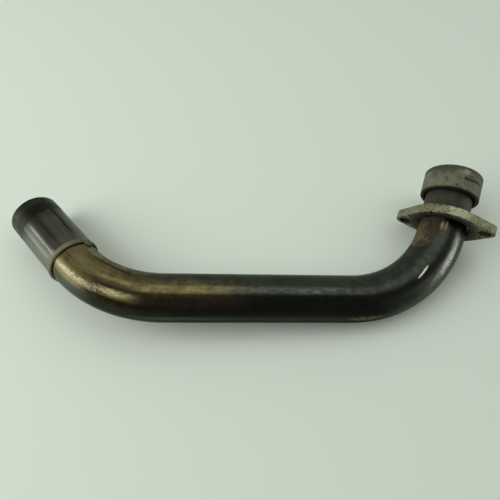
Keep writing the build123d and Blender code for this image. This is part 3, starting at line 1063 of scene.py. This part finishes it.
class BuildCollar(bpy.types.Operator):
    """Make the gouged port collar and its ring of weld"""

    bl_idname = "header.build_collar"
    bl_label = "Collar and weld"

    def execute(self, context):
        sizes = context.scene.header_sizes
        finish = context.scene.header_finish
        outer = size_of("port_spigot", "r_mm")
        face = mount_end("port_spigot", 0.5).moved(sizes.collar_edge)
        low = face.moved(-sizes.collar_height)
        tall = sizes.collar_height
        edge = sizes.collar_edge
        outline = [(sizes.collar_land, sizes.skirt_depth), (sizes.collar_land, tall), (outer - edge, tall),
                   (outer, tall - edge), (outer, edge), (outer - edge, 0.0), (sizes.skirt_bore, 0.0),
                   (sizes.skirt_bore, sizes.skirt_depth)]
        outline = divided(rounded(outline, EDGE_ROUND), 0.45 * MM)
        mesh = turned_mesh("collar", low, outline, COLLAR_POINTS, self.wear(outer))
        mesh.materials.append(collar_material(finish, tall / MM))
        smooth(mesh, 48)
        settle(new_object("collar", mesh), "header", "collar_steel", "port_collar")
        self.bead(sizes, finish, face)
        return {"FINISHED"}

    def wear(self, outer):
        """Moves the collar's outside for the gouge across it, the chip below it and a slight wobble.

        The gouge's middle is given as degrees round the collar and millimetres from its lower face.
        """
        gouge = [(93.0, 10.2), (101.0, 9.3), (110.0, 9.8), (119.0, 10.6), (138.0, 10.9)]
        gouge_start, gouge_end = gouge[0][0], gouge[-1][0]

        def shape(angle, radius, along):
            if radius < outer - 1.0 * MM:
                return radius, along
            degrees = angle * DEGREES
            height = along / MM
            sunk = 0.05 * (noise.noise(Vector((cos(angle) * 3, sin(angle) * 3, height * 0.2))) - 0.2)
            for (left, left_height), (right, right_height) in zip(gouge, gouge[1:]):
                if left <= degrees < right:
                    t = (degrees - left) / (right - left)
                    middle = left_height + (right_height - left_height) * t
                    middle += 0.25 * noise.noise(Vector((degrees * 0.25, 4.0, 0.0)))
                    ends = min(1.0, (degrees - gouge_start) / 5.0, (gouge_end - degrees) / 9.0)
                    off = height - middle
                    cut = 0.85 * ends * exp(-((off / 0.62) ** 2))
                    burr = 0.16 * ends * exp(-(((off - 1.25) / 0.5) ** 2))
                    sunk += cut - burr
            chip = ((degrees - 84.0) / 4.0) ** 2 + ((height - 3.4) / 0.8) ** 2
            sunk += 0.35 * exp(-chip)
            return radius - sunk * MM, along
        return shape

    def bead(self, sizes, finish, face):
        """A ring of weld ripples just inside the collar's face."""
        station = face.moved(-sizes.mouth_setback + sizes.bead_leg * 0.42)
        draft = new_object("bead", bpy.data.meshes.new("bead_start"))
        bead_nodes().put_on(draft, Bead_radius=sizes.collar_land - sizes.bead_leg * 0.52,
                            Drop_size=0.84 * MM, Drops=BEAD_DROPS, Seed=BEAD_SEED,
                            Material=shared_weld(finish))
        mesh = plain_mesh(draft, "bead")
        drop_object(draft)
        places = [vertex.co.copy() for vertex in mesh.vertices]
        move_out(mesh, places, lambda place: station.at(*place))
        smooth(mesh, 60)
        settle(new_object("bead", mesh), "header", "weld_metal", "collar_weld")


class BuildFlange(bpy.types.Operator):
    """Make the loose flange with its worn, nicked edge"""

    bl_idname = "header.build_flange"
    bl_label = "Flange"

    def execute(self, context):
        sizes = context.scene.header_sizes
        finish = context.scene.header_finish
        studs = MOUNTS["stud_holes"]
        normal = Vector(studs["axis"]).normalized()
        middle = Vector(studs["pos_m"])
        long_axis = self.long_axis(middle, normal)
        across = normal.cross(long_axis)
        mesh = self.plate(sizes)
        places = [self.nicked(vertex.co.copy(), sizes) for vertex in mesh.vertices]
        move_out(mesh, places,
                 lambda place: middle + long_axis * place.x + across * place.y + normal * place.z)
        mesh.materials.clear()
        mesh.materials.append(flange_material(finish, sizes.flange_thickness / MM, HALF_STUDS / MM,
                                              STUD_HOLE / MM, sizes.flange_bore / MM))
        smooth(mesh, 35)
        settle(new_object("flange", mesh), "flange", "flange_plating", "mounting_flange")
        return {"FINISHED"}

    def long_axis(self, middle, normal):
        """From the flange's middle towards the ear on the right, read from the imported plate."""
        plate = frame["nodes"]["mounting_flange"]
        spread = [plate.matrix_world @ vertex.co - middle for vertex in plate.data.vertices]
        flat = [offset - normal * offset.dot(normal) for offset in spread]
        right = [offset for offset in flat if offset.x > 0]
        far = max(offset.length for offset in right)
        ends = [offset for offset in right if offset.length > far - 0.05 * MM]
        return sum(ends, Vector((0.0, 0.0, 0.0))).normalized()

    def plate(self, sizes):
        """The plate's outline, bore and stud holes as a flat curve with rounded edges, made a mesh."""
        lean = acos((sizes.flange_disc - sizes.flange_ear) / HALF_STUDS)
        outline = []
        for centre, radius, start, end, steps in (
                (HALF_STUDS, sizes.flange_ear, -lean, lean, 30),
                (0.0, sizes.flange_disc, lean, pi - lean, 60),
                (-HALF_STUDS, sizes.flange_ear, pi - lean, pi + lean, 30),
                (0.0, sizes.flange_disc, pi + lean, 2 * pi - lean, 60)):
            for step in range(steps + 1):
                angle = start + (end - start) * step / steps
                outline.append((centre + radius * cos(angle), radius * sin(angle)))
        outline = divided(outline, 1.2 * MM)
        rings = [outline]
        for centre, radius, steps in (
                (0.0, sizes.flange_bore, BORE_POINTS),
                (HALF_STUDS, STUD_HOLE, STUD_HOLE_POINTS),
                (-HALF_STUDS, STUD_HOLE, STUD_HOLE_POINTS)):
            angles = [2 * pi * step / steps for step in range(steps)]
            rings.append([(centre + radius * cos(angle), -radius * sin(angle)) for angle in angles])
        curve = bpy.data.curves.new("plate", "CURVE")
        curve.dimensions = "2D"
        curve.fill_mode = "BOTH"
        curve.bevel_depth = sizes.flange_edge
        curve.bevel_resolution = 3
        curve.offset = -sizes.flange_edge
        curve.extrude = sizes.flange_thickness / 2 - sizes.flange_edge
        for ring in rings:
            spline = curve.splines.new("POLY")
            spline.points.add(len(ring) - 1)
            for point, (x, y) in zip(spline.points, ring):
                point.co = (x, y, 0.0, 1.0)
            spline.use_cyclic_u = True
        draft = new_object("plate", curve)
        mesh = plain_mesh(draft, "flange")
        drop_object(draft)
        return mesh

    def nicked(self, place, sizes):
        """Wears the rim unevenly and cuts a few nicks in its lower edge."""
        margin = 1.5 * MM
        ear = min((place.xy - Vector((side * HALF_STUDS, 0))).length for side in (1, -1))
        if place.xy.length < sizes.flange_bore + margin or ear <= STUD_HOLE + margin:
            return place
        rim = noise.noise(place * 260.0) * 0.10 * MM + noise.noise(place * 900.0) * 0.05 * MM
        if place.z < -sizes.flange_thickness / 2 + sizes.flange_edge:
            angle = atan2(place.y, place.x) * DEGREES
            for where, width, depth in (
                    (-163.0, 2.2, 0.7), (-122.0, 1.5, 0.4), (-71.0, 1.8, 0.35), (-40.0, 1.2, 0.5)):
                rim -= depth * MM * exp(-(((angle - where) / width) ** 2))
        direction = place.xy.normalized()
        return place + Vector((direction.x, direction.y, 0.0)) * min(rim, 0.05 * MM)


class BuildStage(bpy.types.Operator):
    """Set the table, the soft light and the camera"""

    bl_idname = "header.build_stage"
    bl_label = "Stage"

    def execute(self, context):
        stage = context.scene.header_stage
        scene = context.scene
        mesh = bpy.data.meshes.new("table")
        corners = ((-1, -1), (1, -1), (1, 1), (-1, 1))
        mesh.from_pydata([(x * TABLE_REACH, y * TABLE_REACH, 0) for x, y in corners], [], [(0, 1, 2, 3)])
        mesh.materials.append(floor_material(stage))
        new_object("table", mesh)
        self.room(scene, stage)
        for name, place, power in (("left fill", (-1.0, -0.2, 0.85), stage.left_fill),
                                   ("right fill", (0.95, 0.2, 0.9), stage.right_fill)):
            fill = self.lamp(name, place, (0.0, 0.0, 0.0), (1.0, 1.2), power)
            fill.visible_glossy = False
        self.lamp("softbox", (0.02, 0.325, 1.0), (0.02, 0.325, 0.0), (1.15, 0.71), stage.softbox)
        for name, place, size, power in (("left wall", (-1.2, -0.05, 0.21), (1.1, 0.42), stage.left_wall),
                                         ("left strip", (-1.2, -0.1, 0.51), (1.0, 0.10), stage.left_strip),
                                         ("right wall", (1.2, -0.1, 0.32), (0.8, 0.64), stage.right_wall)):
            wall = self.lamp(name, place, (0.0, place[1], place[2]), size, power)
            wall.visible_diffuse = False
        self.camera(scene, stage)
        scene.view_settings.view_transform = "Standard"
        return {"FINISHED"}

    def lamp(self, name, place, aim, size, power):
        data = bpy.data.lights.new(name, "AREA")
        data.shape = "RECTANGLE"
        data.size, data.size_y = size
        data.energy = power
        data.color = LAMP_WHITE
        thing = new_object(name, data)
        thing.location = place
        thing.rotation_euler = (Vector(aim) - Vector(place)).to_track_quat("-Z", "Y").to_euler()
        return thing

    def room(self, scene, stage):
        """A room that is light behind the table and low all round, and dark higher up in front."""
        world = bpy.data.worlds.new("room")
        scene.world = world
        world.use_nodes = True
        sky = Tree(world.node_tree)
        way = sky.node("ShaderNodeTexCoord", {}, {}, "Generated")
        behind, upright = sky.parts(way)[1:]
        lit = sky.most(sky.step(behind, -0.05, 0.20), sky.step(upright, 0.17, 0.10))
        light = world.node_tree.nodes["Background"]
        sky.plug(light.inputs["Color"], ROOM_WHITE)
        sky.plug(light.inputs["Strength"], stage.room_front + lit * (stage.room_back - stage.room_front))

    def camera(self, scene, stage):
        back = Vector((sin(stage.azimuth) * cos(stage.elevation),
                       -cos(stage.azimuth) * cos(stage.elevation), sin(stage.elevation)))
        level = Vector((0, 0, 1)).cross(back).normalized()
        upright = back.cross(level)
        right = level * cos(stage.roll) + upright * sin(stage.roll)
        up = upright * cos(stage.roll) - level * sin(stage.roll)
        place = Vector(stage.aim) + back * stage.distance
        data = bpy.data.cameras.new("camera")
        data.sensor_width = 36.0
        data.lens = stage.lens
        data.clip_start = 0.01
        thing = new_object("camera", data)
        thing.matrix_world = Matrix.Translation(place) @ Matrix((right, up, back)).transposed().to_4x4()
        scene.camera = thing


class HeaderPanel(bpy.types.Panel):
    """Sidebar panel with the header's values and steps"""

    bl_idname = "VIEW3D_PT_header"
    bl_label = "Exhaust header"
    bl_space_type = "VIEW_3D"
    bl_region_type = "UI"
    bl_category = "Header"

    def draw(self, context):
        for group_name, group in GROUPS.items():
            box = self.layout.box()
            for name in group.__annotations__:
                box.prop(getattr(context.scene, group_name), name)
        for operator in OPERATORS:
            self.layout.operator(operator.bl_idname)


GROUPS = {"header_sizes": HeaderSizes, "header_finish": HeaderFinish, "header_stage": HeaderStage}
OPERATORS = (BuildTube, BuildSleeve, BuildCollar, BuildFlange, BuildStage)


def register():
    for group in GROUPS.values():
        bpy.utils.register_class(group)
    for name, group in GROUPS.items():
        setattr(bpy.types.Scene, name, PointerProperty(type=group))
    for operator in OPERATORS:
        bpy.utils.register_class(operator)
    bpy.utils.register_class(HeaderPanel)


def unregister():
    bpy.utils.unregister_class(HeaderPanel)
    for operator in reversed(OPERATORS):
        bpy.utils.unregister_class(operator)
    for name, group in GROUPS.items():
        delattr(bpy.types.Scene, name)
        bpy.utils.unregister_class(group)


def main():
    register()
    bpy.ops.header.build_tube()
    bpy.ops.header.build_sleeve()
    bpy.ops.header.build_collar()
    bpy.ops.header.build_flange()
    bpy.ops.header.build_stage()


if __name__ == "__main__":
    main()
